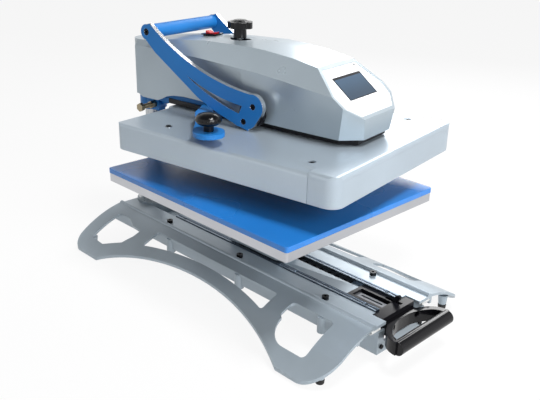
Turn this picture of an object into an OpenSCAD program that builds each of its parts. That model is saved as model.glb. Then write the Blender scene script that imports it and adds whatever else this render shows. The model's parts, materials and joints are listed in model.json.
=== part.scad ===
// Swing-away heat press for dry mounting, with a draw-out lower platen.
// Millimetres. +X is the operator's right, -Y the operator's side, +Z up.
// The origin lies on the bench, straight below the centre of the lower platen.
// The upper arm stands swung to the operator's right, as it is left for loading.

/* [Platens] */
// Width of the lower platen
platen_w = 406; // [380:1:420]
// Depth of the lower platen
platen_d = 508; // [480:1:520]
// Height of the silicone pad's top above the bench
pad_top = 232; // [230:1:236]
// Thickness of the silicone pad
pad_t = 10.4; // [8:0.1:12]
// Thickness of the lower platen plate
plate_t = 17; // [14:1:20]
// Travel of the heated platen when the lever closes
press_travel = 46; // [40:1:46]

/* [Base] */
// Half width of the arched base at its widest
base_half_w = 217; // [210:1:225]
// Front edge of the base
base_front = -350; // [-356:1:-346]
// Rear edge of the base
base_rear = 403; // [400:1:410]
// Radius of the arched top of the wings
arch_r = 246; // [240:1:260]
// Thickness of the cast wings
wing_t = 5; // [4:0.5:6]
// Radius of the hollowed sides of the base
waist_r = 675; // [650:5:720]
// Half width of the base at its waist
waist_half_w = 157; // [150:1:165]
// Top of the flat bed strip
bed_top = 77.5; // [76:0.5:79]

/* [Slide] */
// Half width over the outsides of the two rails
rail_out = 38.6; // [38:0.1:39.4]
// Width of one rail
rail_w = 11.6; // [11:0.1:12]
// Height of one rail
rail_h = 26; // [24:1:28]
// Front end of the rails
rail_front = -318; // [-322:1:-314]
// Rear end of the rails
rail_rear = 251; // [245:1:258]
// Front end of the carriage
carriage_front = -238; // [-242:1:-234]

/* [Swing arm] */
// Distance of the swing post behind the platen's centre
post_y = 373; // [365:1:380]
// Radius of the swing post
post_r = 19.5; // [18:0.5:20]
// Angle that the arm stands swung to the right of straight
swing_angle = 8.5; // [0:0.5:20]
// Outside radius of the post sleeve
sleeve_r = 30; // [29:0.5:31]
// Half width of the arm housing along the crease round its front
housing_front_w = 90; // [86:0.5:91]
// Half width of the arm housing at its rear
housing_rear_w = 71; // [70:0.5:74]
// Wall of the arm housing
housing_t = 3; // [2.5:0.5:4]
// Bottom edge of the housing's front stretch
housing_bottom = 350; // [349:1:352]

/* [Lever] */
// Place of the lever shaft along the arm
lever_y = 13; // [11:1:15]
// Height of the lever shaft
lever_z = 371; // [370:1:372]
// Place of the grip along the arm, lever open
grip_y = 277; // [272:1:280]
// Height of the grip, lever open
grip_z = 494; // [491:1:496]
// Radius of the grip tube
grip_r = 14; // [13:0.5:14.5]
// Thickness of the lever plates
lever_t = 10; // [8:1:12]
// Distance from the arm's middle to the inner face of a lever plate
lever_in = 96; // [95:0.5:98]
// Turn of the lever from open to closed
lever_turn = 150; // [140:1:152]

/* [Heated head] */
// Width of the heater casing
casing_w = 443; // [436:1:450]
// Depth of the heater casing
casing_d = 519; // [514:1:524]
// Bottom edge of the heater casing
casing_bottom = 281.5; // [280:0.5:284]
// Height of the heater casing
casing_h = 52; // [51:1:54]
// Corner radius of the heater casing
casing_r = 25; // [20:1:30]

/* [Hidden] */
$fn = 64;
eps = 0.01;
fit = 0.05;
gap = 0.4;
pad_bottom = pad_top - pad_t;
plate_bottom = pad_bottom - plate_t;
rail_in = rail_out - rail_w;
trough_floor = bed_top - 24;
rail_top = trough_floor + rail_h;
strip_t = 6;
shoulder_x = 82;
arch_x = 45;
arch_z = bed_top + 4.5 - arch_r;
rib_x = 107;
hole_in = 113;
foot_x = 182;
foot_front_y = -320;
foot_rear_y = 372;
foot_h = 10;
casing_top = casing_bottom + casing_h;
field_h = 4;
deck_z = housing_bottom - 10.5;
deck_t = 10.5;
cam_r0 = 24;
cam_pin_r = 6;
cam_x = 14;
cam_t = 9;
shaft_r = 10;
bed_screw_x = 69.5;
bed_screw_ys = [-228, 2, 232];
knob_y = 119;
swing_knob = [-207, 22];
handle_y = -394;
lock_y = -311;
lock_z = trough_floor + 10.5;
panel_top = [-108, 470];
panel_tilt = 38.2;
rocker_pin_r = 1.6;
groove_z = trough_floor + 6;
screen_w = 96;
screen_h = 54;
screen_s = -31;

// Placing helpers

// Turns a part drawn with the arm straight to where the swung arm stands
module swung() {
    translate([0, post_y, 0]) rotate([0, 0, swing_angle]) translate([0, -post_y, 0]) children();
}

module both_sides() {
    children();
    mirror([1, 0, 0]) children();
}

// A cylinder along X from x0 to x1 about (y, z)
module rod_x(x0, x1, y, z, r) {
    translate([x0, y, z]) rotate([0, 90, 0]) cylinder(h = x1 - x0, r = r);
}

// A profile drawn in (y, z), extruded along X from x0 to x1
module slab_x(x0, x1) {
    translate([x0, 0, 0]) rotate([90, 0, 90]) linear_extrude(x1 - x0) children();
}

// A profile drawn in (x, z), extruded along Y from y0 to y1
module slab_y(y0, y1) {
    translate([0, y1, 0]) rotate([90, 0, 0]) linear_extrude(y1 - y0) children();
}

module rounded_rect(w, d, r) {
    square([w, d - 2 * r], center = true);
    square([w - 2 * r, d], center = true);
    for (sx = [-1, 1], sy = [-1, 1])
        translate([sx * (w / 2 - r), sy * (d / 2 - r)]) circle(r);
}

// A bolt standing on z = 0 with its hexagon-socket head above and its shank below
module cap_screw(head_r, head_h, shank_r, shank_l) {
    difference() {
        union() {
            cylinder(h = head_h, r = head_r);
            translate([0, 0, -shank_l]) cylinder(h = shank_l + eps, r = shank_r);
        }
        translate([0, 0, head_h * 0.4]) cylinder(h = head_h, r = head_r * 0.5, $fn = 6);
    }
}

// Base

module base_outline() {
    front_r = 56;
    rear_r = 26;
    difference() {
        union() {
            translate([-base_half_w, base_front + front_r])
                square([2 * base_half_w, base_rear - base_front - front_r - rear_r]);
            translate([-base_half_w + front_r, base_front])
                square([2 * (base_half_w - front_r), 2 * front_r]);
            translate([-base_half_w + rear_r, base_rear - 2 * rear_r])
                square([2 * (base_half_w - rear_r), 2 * rear_r]);
            for (s = [-1, 1]) {
                translate([s * (base_half_w - front_r), base_front + front_r]) circle(front_r);
                translate([s * (base_half_w - rear_r), base_rear - rear_r]) circle(rear_r);
            }
        }
        for (s = [-1, 1]) translate([s * (waist_half_w + waist_r), 30]) circle(waist_r, $fn = 360);
    }
}

// The three openings in the right wing
module wing_openings() {
    offset(r = 7) offset(delta = -7)
        polygon([[115, 360], [190, 364], [192, 318], [172, 272], [150, 260], [130, 258],
                 [128, 292], [115, 320]]);
    offset(r = 5) offset(delta = -5) difference() {
        translate([hole_in, -150]) square([48, 366]);
        translate([waist_half_w + waist_r, 30]) circle(waist_r + 25, $fn = 360);
    }
    offset(r = 9) offset(delta = -9) difference() {
        translate([hole_in, -289]) square([77, 99]);
        difference() {
            translate([150, -237]) square(60);
            translate([150, -237]) circle(40);
        }
    }
}

// Right half of the arched plate, drawn in (x, z)
module wing_profile() {
    intersection() {
        difference() {
            translate([arch_x, arch_z]) circle(arch_r, $fn = 240);
            translate([arch_x, arch_z]) circle(arch_r - wing_t, $fn = 240);
        }
        translate([shoulder_x - 5, 0]) square([150, 90]);
    }
    translate([shoulder_x, bed_top]) circle(5);
}

module bed_profile() {
    difference() {
        translate([-shoulder_x, trough_floor - 6]) square([2 * shoulder_x, 30]);
        translate([-40, trough_floor]) square([80, 40]);
        for (s = [-1, 1]) translate([s * 66 - 20, 0]) square([40, bed_top - strip_t]);
    }
}

module base_casting() {
    color("silver") difference() {
        union() {
            intersection() {
                slab_y(base_front, base_rear) both_sides() wing_profile();
                difference() {
                    linear_extrude(120) base_outline();
                    both_sides() translate([0, 0, -1]) linear_extrude(130) wing_openings();
                }
            }
            slab_y(base_front, 330) bed_profile();
            slab_y(330 - eps, base_rear) translate([-shoulder_x, bed_top - strip_t])
                square([2 * shoulder_x, strip_t]);
            both_sides() {
                intersection() {
                    slab_y(base_front + 12, base_rear - 14)
                        translate([rib_x - 3, 47]) square([6, 40]);
                    slab_y(base_front, base_rear)
                        translate([arch_x, arch_z]) circle(arch_r - wing_t + 1, $fn = 240);
                }
                for (y = [-256, -38, 180]) translate([rib_x, y, 38]) cylinder(h = 31, r = 9.5);
                for (y = [foot_front_y, foot_rear_y])
                    translate([foot_x, y, foot_h]) cylinder(h = 20, r1 = 7.6, r2 = 10);
            }
            translate([0, post_y, 52]) cylinder(h = bed_top + 4 - 52, r = 47);
        }
        // The front of the trough is open, so that the draw frame passes
        translate([-50, base_front - 1, 40]) cube([100, rail_front - base_front, 40]);
        for (s = [-1, 1], y = bed_screw_ys)
            translate([s * bed_screw_x, y, 60]) cylinder(h = 30, r = 4.2);
        for (a = [45:90:315])
            translate([34 * cos(a), post_y + 34 * sin(a), 56]) cylinder(h = 40, r = 5.2);
        for (s = [-1, 1], y = rail_screw_ys())
            translate([s * (rail_out - rail_w / 2), y, 40]) cylinder(h = 20, r = 2.7);
    }
}

function rail_screw_ys() = [for (i = [0:3]) -290 + i * 170];

module front_crossmember() {
    t = 4;
    back = base_front + 41;
    color("gray") difference() {
        translate([-68, base_front + 1, 16]) cube([136, back - base_front - 1, 46]);
        translate([-68 + t, base_front + 1 + t, 10]) cube([136 - 2 * t, 60, 70]);
        translate([-50, base_front - 1, 38]) cube([100, 60, 40]);
        for (s = [-1, 1])
            translate([s * 58, base_front, 30]) rotate([-90, 0, 0]) cylinder(h = 12, r = 2.7);
    }
}

module crossmember_screws() {
    color("black") for (s = [-1, 1])
        translate([s * 58, base_front + 1, 30]) rotate([90, 0, 0]) cap_screw(4.2, 3, 2.5, 10);
}

module handle_buffers() {
    color("white") both_sides() difference() {
        rod_x(62, 86, base_front + 6, bed_top - strip_t - 4.6, 4.5);
        rod_x(80, 90, base_front + 6, bed_top - strip_t - 4.6, 2);
    }
}

// A rail with its shoe groove on the inner side and a light groove along the top
module rail() {
    color("lightsteelblue") difference() {
        slab_y(rail_front, rail_rear) difference() {
            translate([rail_in, trough_floor]) square([rail_w, rail_h]);
            translate([rail_in - 1, groove_z]) square([3.9, 7]);
            translate([rail_in + 4.6, rail_top - 2.4]) square([3, 4]);
            translate([rail_out - 1.4, rail_top - 8]) square([2, 3]);
        }
        for (y = rail_screw_ys()) {
            translate([rail_out - rail_w / 2, y, trough_floor - 1]) cylinder(h = 30, r = 2.7);
            translate([rail_out - rail_w / 2, y, rail_top - 6]) cylinder(h = 10, r = 4.6);
        }
    }
}

module left_rail() {
    mirror([1, 0, 0]) rail();
}

module right_rail() {
    rail();
}

module rail_screws() {
    color("dimgray") both_sides() for (y = rail_screw_ys())
        translate([rail_out - rail_w / 2, y, rail_top - 6]) cap_screw(4.3, 3.2, 2.5, rail_h - 2);
}

module bed_screws() {
    color("black") for (s = [-1, 1], y = bed_screw_ys)
        translate([s * bed_screw_x, y, bed_top]) cap_screw(6.5, 6.5, 4, 14);
}

module rubber_feet() {
    color("black") both_sides() for (y = [foot_front_y, foot_rear_y])
        translate([foot_x, y, 0]) rotate_extrude()
            polygon([[0, 0], [6.8, 0], [7.6, 1], [8.2, foot_h - 2.5], [7.6, foot_h], [0, foot_h]]);
}

module swing_post() {
    color("gray") translate([0, post_y, bed_top + 4]) difference() {
        union() {
            cylinder(h = 12, r = 44);
            cylinder(h = 442 - bed_top - 4, r = post_r);
            translate([0, 0, 12 - eps]) cylinder(h = 10, r1 = 26, r2 = post_r);
        }
        for (a = [45:90:315]) translate([34 * cos(a), 34 * sin(a), -1]) cylinder(h = 20, r = 5.2);
        translate([0, 0, 442 - bed_top - 4 - 18]) cylinder(h = 20, r = 4.2);
    }
}

module post_bolts() {
    color("dimgray") for (a = [45:90:315])
        translate([34 * cos(a), post_y + 34 * sin(a), bed_top + 16]) cap_screw(7.5, 8, 5, 34);
}

// Draw-out carriage

module carriage() {
    color("silver") difference() {
        slab_y(carriage_front, 246) difference() {
            translate([-26.4, trough_floor + 2.5]) square([52.8, 19]);
            translate([13.4, trough_floor + 15]) square([20, 20]);
            for (s = [-1, 1]) translate([s * 24.4 - 3.4, groove_z + 0.3]) square([6.8, 6.4]);
            translate([-9, trough_floor]) square([18, 8]);
        }
        for (s = [-1, 1], y = [-58, 58])
            translate([s * 8 - 6, y, trough_floor + 12]) cylinder(h = 20, r = 3.2);
    }
}

shoe_ys = [-222, -90, 62, 222];

module slide_shoes() {
    color("ivory") both_sides() for (y = shoe_ys)
        translate([21, y - 15, groove_z + 0.3]) cube([rail_in + 2.6 - 21, 30, 6.4]);
}

// A slotted strip that gives the drawer its stopping places
module index_strip() {
    color("black") difference() {
        translate([13.6, -212, trough_floor + 15]) cube([12.4, 450, 4.5]);
        for (i = [0:21])
            translate([16.6, -204 + i * 20, trough_floor + 16.5]) cube([6.4, 9, 10]);
    }
}

module pedestal() {
    z0 = trough_floor + 21.5;
    color("gray") difference() {
        union() {
            translate([-24, -80, z0]) cube([36, 160, 8]);
            translate([-4, 0, z0 + 8 - eps]) linear_extrude(12) rounded_rect(62, 150, 14);
            translate([0, 0, z0 + 20 - eps]) cylinder(h = 16, r1 = 36, r2 = 34);
            translate([0, 0, z0 + 30]) cylinder(h = 183 - z0 - 30, r = 34);
            for (a = [0:90:270]) rotate([0, 0, a])
                slab_x(-4, 4) polygon([[20, z0 + 20], [a % 180 == 0 ? 68 : 38, z0 + 20], [33, 150], [20, 150]]);
        }
        translate([0, 0, 120]) cylinder(h = 80, r = 12);
        for (s = [-1, 1], y = [-58, 58]) {
            translate([s * 8 - 6, y, z0 - 1]) cylinder(h = 30, r = 3.2);
            translate([s * 8 - 6, y, z0 + 12]) cylinder(h = 20, r = 6);
        }
    }
}

module pedestal_bolts() {
    color("dimgray") for (s = [-1, 1], y = [-58, 58])
        translate([s * 8 - 6, y, trough_floor + 33.5]) cap_screw(5.5, 6, 3, 16);
}

module platen_spider() {
    arm_l = 210;
    top = plate_bottom;
    color("gray") difference() {
        union() {
            translate([0, 0, 183]) cylinder(h = top - 183, r = 62);
            for (a = [38, 142, 218, 322]) rotate([0, 0, a])
                slab_y(-17, 17) polygon([[40, 186], [70, 186], [arm_l - 28, top - 8], [arm_l, top - 8],
                                         [arm_l, top], [40, top]]);
        }
        translate([0, 0, 150]) cylinder(h = 80, r = 12);
        for (a = [38, 142, 218, 322]) rotate([0, 0, a]) translate([arm_l - 14, 0, 170]) cylinder(h = 60, r = 3.2);
    }
}

module lower_platen() {
    color("lightgray") difference() {
        translate([0, 0, plate_bottom]) linear_extrude(plate_t) rounded_rect(platen_w, platen_d, 5);
        for (a = [38, 142, 218, 322]) rotate([0, 0, a])
            translate([196, 0, plate_bottom - 1]) cylinder(h = 11, r = 3.2);
    }
}

module platen_screws() {
    color("dimgray") for (a = [38, 142, 218, 322]) rotate([0, 0, a])
        translate([196, 0, plate_bottom - 8]) mirror([0, 0, 1]) cap_screw(5, 5, 3, 16);
}

module silicone_pad() {
    color("royalblue") translate([0, 0, pad_bottom]) linear_extrude(pad_t)
        rounded_rect(platen_w + 2, platen_d + 2, 6);
}

// Draw handle

module draw_frame() {
    color([0.1, 0.1, 0.12]) difference() {
        union() {
            translate([-47, -340, trough_floor + 1]) cube([94, 21, 21.5]);
            translate([-26, -322, trough_floor + 3]) cube([52, carriage_front + 322, 18.5]);
        }
        // Recess of the draw bar
        translate([-14, -314, trough_floor + 9]) cube([28, 68, 20]);
        // Slot of the lock lever
        translate([16.8, -332, trough_floor]) cube([7, 36, 40]);
        rod_x(14, 26, lock_y, lock_z, 2);
        for (x = [-34, 34]) translate([x, -345, trough_floor + 8]) rotate([-90, 0, 0]) cylinder(h = 22, r = 2.5);
    }
}

module draw_bar() {
    color("gray") difference() {
        translate([-8, -314, trough_floor + 9]) cube([16, 68, 8]);
        translate([-2.5, -304, trough_floor + 14]) cube([5, 48, 6]);
    }
}

handle_end = 38;
handle_arc_r = 108.2;
handle_arc_y = -340 - handle_arc_r;

// Plan of the handle loop, moved inwards by t
module handle_plan(t) {
    intersection() {
        translate([-100, handle_y]) square([200, 80]);
        union() {
            intersection() {
                translate([0, handle_arc_y]) circle(handle_arc_r - t, $fn = 180);
                polygon([[0, handle_arc_y], [-2 * handle_end, 2 * handle_y - handle_arc_y],
                         [2 * handle_end, 2 * handle_y - handle_arc_y]]);
            }
            for (s = [-1, 1]) translate([s * handle_end, handle_y]) circle(42 - t);
        }
    }
}

module draw_handle() {
    bar_z = trough_floor + 1.5;
    color("black") difference() {
        union() {
            translate([0, 0, bar_z - 12]) linear_extrude(24) difference() {
                handle_plan(0);
                handle_plan(11);
            }
            translate([-42, -352, bar_z - 12]) cube([84, 12, 24]);
            rod_x(-76, 76, handle_y, bar_z, 13);
        }
        for (x = [-34, 34]) {
            translate([x, -354, trough_floor + 8]) rotate([-90, 0, 0]) cylinder(h = 30, r = 2.5);
            translate([x, -370, trough_floor + 8]) rotate([-90, 0, 0]) cylinder(h = 22, r = 5);
        }
    }
}

module handle_bolts() {
    color("dimgray") for (x = [-34, 34])
        translate([x, -348, trough_floor + 8]) rotate([90, 0, 0]) cap_screw(4.6, 4, 2.5, 20);
}

// The small lever that locks the drawer: its round foot is off centre from its pin
module lock_lever() {
    color([0.08, 0.08, 0.09]) difference() {
        slab_x(17.4, 23.2) {
            translate([lock_y + 5, lock_z]) circle(7.2);
            polygon([[lock_y - 5, lock_z - 2], [lock_y + 4, lock_z + 6], [lock_y - 8, lock_z + 24],
                     [lock_y - 14, lock_z + 27], [lock_y - 18, lock_z + 24]]);
        }
        rod_x(10, 30, lock_y, lock_z, 2.05);
    }
}

module lock_pin() {
    color("silver") rod_x(14, 26, lock_y, lock_z, 2);
}

// Swing arm

module swing_casting() {
    sleeve_bottom = 304;
    color([0.1, 0.42, 0.8]) difference() {
        union() {
            translate([0, post_y, sleeve_bottom]) cylinder(h = 438 - sleeve_bottom, r = sleeve_r);
            // Flat arm under the housing, stepped up where it lies on the deck
            translate([0, 0, deck_z]) linear_extrude(deck_t)
                polygon([[-56, 268.5], [56, 268.5], [54, 318], [34, 350], [-34, 350], [-54, 318]]);
            translate([0, 0, housing_bottom]) linear_extrude(9)
                polygon([[-58, 136], [58, 136], [54, 318], [34, 350], [-34, 350], [-54, 318]]);
            // Ribs between the sleeve and the flat arm
            for (s = [-1, 1]) slab_x(s * 20 - 5, s * 20 + 5)
                polygon([[352, 308], [272, deck_z + 1], [269, housing_bottom], [180, housing_bottom],
                         [180, 362], [352, 430]]);
            // Lug of the stop screw
            translate([-34, 322, sleeve_bottom + 4]) cube([20, 36, 38]);
            rod_x(-34, -14, 335, sleeve_bottom + 18, 14);
            // Tongue of the swing handle, which lies on the deck and comes out below the housing
            translate([0, 0, housing_bottom]) linear_extrude(8.5) tongue_plan();
        }
        translate([0, post_y, sleeve_bottom - 1]) cylinder(h = 200, r = post_r + 4.5);
        rod_x(-40, -10, 335, sleeve_bottom + 18, 5);
        translate([swing_knob[0], swing_knob[1], housing_bottom - 1]) cylinder(h = 20, r = 5);
        for (p = [guide_places()[2], guide_places()[3]])
            translate([p[0], p[1], housing_bottom - 1]) cylinder(h = 20, r = 15);
        for (p = deck_screw_at) translate([p[0], p[1], deck_z - 1]) cylinder(h = 40, r = 2.9);
        for (s = [-1, 1]) translate([s * 46, 300, deck_z - 1]) {
            cylinder(h = 40, r = 2.2);
            cylinder(h = 4.5, r = 4.2);
        }
    }
}

module tongue_plan() {
    translate(swing_knob) circle(29);
    polygon([[-226, 44], [-190, -1], [-187, 27], [-110, 96], [-66, 134], [-40, 137], [-40, 170],
             [-69, 158], [-127, 128], [-192, 69]]);
}

module post_bushes() {
    color("peru") for (z = [306, 402]) translate([0, post_y, z]) difference() {
        cylinder(h = 34, r = post_r + 4.5);
        translate([0, 0, -1]) cylinder(h = 40, r = post_r + fit);
    }
}

module post_cap() {
    color("dimgray") translate([0, post_y, 0]) {
        translate([0, 0, 442]) cylinder(h = 4, r = 15);
        translate([0, 0, 425]) cylinder(h = 17 + eps, r = 4.2);
    }
}

// Hexagon screw that stops the arm when it comes straight, with its lock nut
module stop_screw() {
    z = 322;
    color("darkgoldenrod") {
        rod_x(-74, -12, 335, z, 5);
        translate([-80, 335, z]) rotate([0, 90, 0]) cylinder(h = 8, r = 9.5, $fn = 6);
        translate([-48, 335, z]) rotate([0, 90, 0]) cylinder(h = 14 - gap, r = 8.5, $fn = 6);
    }
}

module swing_handle_stud() {
    color("silver") translate([swing_knob[0], swing_knob[1], housing_bottom]) {
        cylinder(h = 22.5, r = 5);
        translate([0, 0, -3]) cylinder(h = 3, r = 8);
    }
}

module swing_handle_knob() {
    color("black") translate([swing_knob[0], swing_knob[1], housing_bottom + 8.5]) rotate_extrude()
        difference() {
            union() {
                square([9.5, 16]);
                polygon([[0, 12], [9.5, 11.5], [19, 13.5], [23.8, 18.5], [24.5, 22.5], [23, 27],
                         [18.5, 31], [10, 34], [0, 35]]);
            }
            translate([-1, -1]) square([6, 15.2]);
        }
}

deck_screw_at = [[-14, 178], [14, 178], [-57, 142], [57, 142]];
housing_screw_at = [[-62, -150], [62, -150]];

module arm_deck() {
    color([0.08, 0.08, 0.09]) difference() {
        union() {
            // Pan that closes the housing from below
            translate([0, 0, deck_z]) linear_extrude(deck_t) deck_plan();
            // Two upright plates carry the lever shaft
            both_sides() slab_x(54, 62) polygon([[-70, housing_bottom - eps], [108, housing_bottom - eps],
                                                [60, 400], [-30, 400]]);
        }
        // Opening that the cams swing through
        translate([-38, -80, deck_z - 1]) cube([76, 184, 30]);
        rod_x(-80, 80, lever_y, lever_z, 15);
        for (p = guide_places()) translate([p[0], p[1], deck_z - 1]) cylinder(h = 20, r = 11);
        for (p = deck_screw_at) translate([p[0], p[1], deck_z - 1]) {
            cylinder(h = 20, r = 2.9);
            cylinder(h = 6.4, r = 5.4);
        }
        for (p = housing_screw_at) translate([p[0], p[1], deck_z - 1]) {
            cylinder(h = 20, r = 2.2);
            cylinder(h = 4.4, r = 4.2);
        }
    }
}

module deck_plan() {
    polygon([[-57, 268], [57, 268], [60, 192], [68, 165], [68, -165], [50, -196], [-50, -196],
             [-68, -165], [-68, 165], [-60, 192]]);
}

function guide_places() = [[-40, -100], [40, -100], [-40, 150], [40, 150]];

module deck_screws() {
    color("dimgray") {
        for (p = deck_screw_at)
            translate([p[0], p[1], deck_z + 5.4]) mirror([0, 0, 1]) cap_screw(5, 5, 2.9, 14);
        for (p = concat(housing_screw_at, [[-46, 300], [46, 300]]))
            translate([p[0], p[1], deck_z + 3.4]) mirror([0, 0, 1]) cap_screw(4, 3.2, 2.2, 18);
    }
}

module shaft_bearings() {
    color("silver") both_sides() difference() {
        rod_x(54, 66, lever_y, lever_z, 15);
        rod_x(50, 70, lever_y, lever_z, shaft_r + fit);
    }
}

module guide_bushes() {
    color("peru") for (p = guide_places()) translate([p[0], p[1], deck_z]) difference() {
        union() {
            cylinder(h = deck_t, r = 11);
            translate([0, 0, deck_t]) cylinder(h = 12, r = 14);
        }
        translate([0, 0, -1]) cylinder(h = 40, r = 8 + fit);
    }
}

// Housing of the arm

// Cross sections of the housing from rear to front, as [y, half width at the bottom,
// half width and height of the side crease, half width and height of the top crease, height at the middle]
function housing_sections() = let (w = housing_rear_w, f = housing_front_w) [
    [350, w, w, 455, 62, 462, 463],
    [335, w, w, 455, 57, 466, 468],
    [280, w, w, 454, 55, 473, 476],
    [165, w + 1, w + 1, 451, 56, 484, 488],
    [46, 75, f - 2, 449, 62, 487, 492],
    [8, 76, f - 1, 447, 62, 485, 491],
    [-54, 78, f, 441, 62, 479, 484],
    [-108, 79, f, 434, 62, 469, 470],
    [-161, 79, f, 428, 64, 462, 463],
    [-230, 79, f, 421, 66, 454, 455]
];

// One section moved inwards by t, as points from the right bottom over the top to the left bottom
function section_points(v, t) = let (low = 336) [
    [v[1] - t - 14 * (v[2] - v[1]) / 100, v[0], low], [v[2] - t, v[0], v[3] - t / 3],
    [v[4] - t / 2, v[0], v[5] - t], [0, v[0], v[6] - t], [-v[4] + t / 2, v[0], v[5] - t],
    [-v[2] + t, v[0], v[3] - t / 3], [-v[1] + t + 14 * (v[2] - v[1]) / 100, v[0], low]
];

// The skin over all sections. Each four-sided field is split from its lower front corner to its upper rear one.
module housing_loft(t) {
    sections = housing_sections();
    n = len(sections);
    points = [for (v = sections) each section_points(v, t)];
    skin = [for (i = [0:n - 2], j = [0:5]) let (a = 7 * i + j, b = a + 1, c = a + 7, d = a + 8)
        each (j < 3 ? [[a, c, b], [b, c, d]] : [[a, d, b], [a, c, d]])];
    floor_faces = [for (i = [0:n - 2]) [7 * i + 6, 7 * i + 13, 7 * i + 7, 7 * i]];
    polyhedron(points, concat(skin, floor_faces, [[for (j = [0:6]) j], [for (j = [6:-1:0]) 7 * (n - 1) + j]]));
}

// Everything in front of an upright plane through p that looks along yaw and leans outwards
module front_cut(p, yaw, lean, t) {
    translate(p) rotate([0, 0, yaw]) rotate([lean, 0, 0]) translate([-200, t - 300, -100]) cube([400, 300, 300]);
}

module housing_form(t) {
    difference() {
        union() {
            housing_loft(t);
            translate([0, post_y, 345]) cylinder(h = 115 - t, r = 36 - t);
        }
        panel_frame() translate([-200, -300, -t]) cube([400, 420, 200]);
        front_cut([0, -206, housing_bottom], 0, 5, t);
        front_cut([76, -176, housing_bottom], 46, 12, t);
        front_cut([-76, -176, housing_bottom], -46, 12, t);
        // Lower edge with the arch over the arm
        if (t == 0) slab_x(-120, 120)
            polygon([[-260, 320], [-260, housing_bottom], [98, housing_bottom], [108, 357], [122, 361], [163, 364],
                     [210, 365], [240, 362.5], [262, 357], [276, 349.5], [287, 345], [332, 345], [345, 351],
                     [420, 351], [420, 320]]);
    }
}

module panel_frame() {
    translate([0, panel_top[0], panel_top[1]]) rotate([panel_tilt, 0, 0]) children();
}

// Outline of the control panel on its own slope, moved inwards by t, with y running down to the front
module panel_plan(t) {
    polygon([[-60 + t, -8 - t / 2], [60 - t, -8 - t / 2], [88 - t * 1.2, -67], [85 - t * 1.2, -98],
             [58 - t / 2, -126 + t], [-58 + t / 2, -126 + t], [-85 + t * 1.2, -98], [-88 + t * 1.2, -67]]);
}

module arm_housing() {
    color([0.72, 0.76, 0.79]) difference() {
        housing_form(0);
        difference() {
            housing_form(housing_t);
            // Floor behind the panel's seat
            panel_frame() translate([-100, -160, -9]) cube([200, 150, 40]);
            // Bosses of the housing screws
            for (p = concat(housing_screw_at, [[-46, 300], [46, 300]]))
                translate([p[0], p[1], housing_bottom + (p[1] > 0 ? 9 : 0)]) cylinder(h = 200, r = 6);
        }
        for (p = concat(housing_screw_at, [[-46, 300], [46, 300]]))
            translate([p[0], p[1], 340]) cylinder(h = 28, r = 2.2);
        panel_frame() translate([0, 0, -6]) linear_extrude(20) panel_plan(4);
        // Dish round the pressure knob
        translate([0, knob_y + 4, 484.5 + 179]) sphere(179);
        translate([0, knob_y, 440]) cylinder(h = 60, r = 9);
        rod_x(-100, 100, lever_y, lever_z, 14);
        // Way for the arm's ribs into the rear round
        translate([-28, 340, 345]) cube([56, 20, 90]);
        switch_frame_place() translate([-10.2, -16.2, -20]) cube([20.4, 32.4, 40]);
        // Seat of the mains inlet
        translate([60, 304, 375]) cube([20, 28.4, 20.4]);
    }
}

// The power switch stands on the sloping top
module switch_frame_place() {
    translate([0, 193, 486.2]) rotate([-3, 0, 0]) children();
}

module control_panel() {
    color([0.93, 0.95, 0.96]) panel_frame() difference() {
        translate([0, 0, -6]) linear_extrude(5) panel_plan(4.2);
        translate([-screen_w / 2 - 0.2, screen_s - screen_h - 0.2, -4]) cube([screen_w + 0.4, screen_h + 0.4, 10]);
        translate([49, -15, -7]) cylinder(h = 10, r = 2.2);
    }
}

module touch_screen() {
    color([0.12, 0.2, 0.3]) panel_frame()
        translate([-screen_w / 2, screen_s - screen_h, -4]) cube([screen_w, screen_h, 3.2]);
}

module status_lens() {
    color([0.1, 0.1, 0.1]) panel_frame() translate([49, -15, -6]) cylinder(h = 5.4, r = 2.1);
}

module control_board() {
    color("darkgreen") {
        panel_frame() translate([-44, -96, -17]) cube([88, 76, 1.6]);
        panel_frame() for (x = [-40, 40], y = [-92, -24]) translate([x, y, -15.5]) cylinder(h = 6.5, r = 2.5);
    }
}

module power_inlet() {
    color([0.07, 0.07, 0.07]) difference() {
        union() {
            translate([58, 304.2, 375.2]) cube([13.2, 28, 20]);
            translate([71.2, 301, 372]) cube([3, 34.4, 26.4]);
        }
        translate([61, 306.7, 378]) cube([20, 23, 14.4]);
    }
}

module switch_frame() {
    color("black") switch_frame_place() difference() {
        union() {
            translate([-10, -16, -16]) cube([20, 32, 16.4]);
            translate([-13, -19, 0.4]) cube([26, 38, 2.4]);
        }
        translate([-7.4, -13.4, -12]) cube([14.8, 26.8, 20]);
        rod_x(-9, 9, 0, 0, rocker_pin_r + fit);
    }
}

// The rocker rests with its rear end pressed, and turns on a stub pin at each side
module switch_rocker() {
    color("red") switch_frame_place() {
        rotate([6, 0, 0]) slab_x(-7, 7)
            polygon([[-12.8, 7], [0, 4], [12.8, 7], [11, -4], [3, -8], [-3, -8], [-11, -4]]);
        rod_x(-8.8, 8.8, 0, 0, rocker_pin_r);
    }
}

// Lever

// Outline of a lever plate: a long bend between two arcs, with a boss round the shaft and one round the grip
module lever_outline() {
    intersection() {
        difference() {
            translate([-104.1, 883.7]) circle(558.1, $fn = 720);
            translate([-30, 884.6]) circle(477, $fn = 720);
        }
        polygon([[12, 330], [60, 330], [292, 480], [284, 506], [262, 514], [3, 420]]);
    }
    translate([grip_y, grip_z]) circle(15.5);
    translate([2.8, 385.5]) circle(24.5);
    translate([15, 364]) circle(22.5);
    polygon([[-18.5, 373.4], [-4.6, 352.9], [15, 341.5], [40, 343], [60, 352], [40, 405], [2.8, 410]]);
}

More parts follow.
